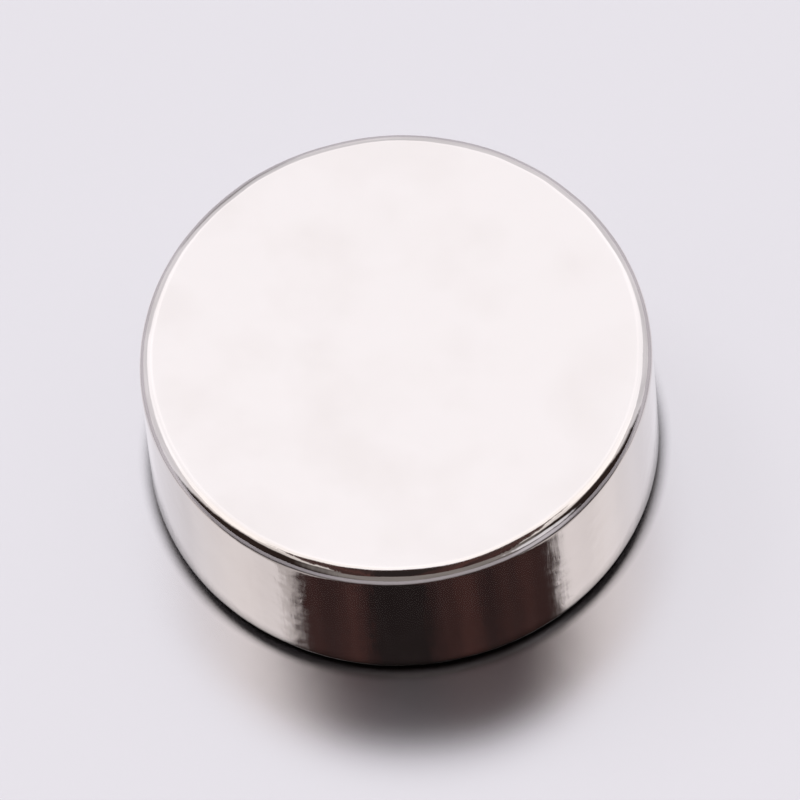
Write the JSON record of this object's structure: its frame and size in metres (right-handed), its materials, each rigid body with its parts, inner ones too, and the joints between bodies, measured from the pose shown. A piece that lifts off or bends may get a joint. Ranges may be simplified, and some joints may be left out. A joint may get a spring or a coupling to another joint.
{
  "type": "disc magnet",
  "caption": "Small flat round magnet with rounded edges and a bright nickel-plated finish, for holding, closing or pressing into a pocket.",
  "frame": {"origin": "centre of the lower face", "axes": "+Z along the disc's axis, from the lower face to the upper face; X and Y lie in the lower face and are interchangeable"},
  "size_m": [0.008, 0.008, 0.003],
  "materials": {
    "nickel_plate": "bright nickel plate over a fine-ground, tumbled disc"
  },
  "bodies": {
    "root": {"magnet_disc": "nickel_plate"}
  },
  "joints": []
}
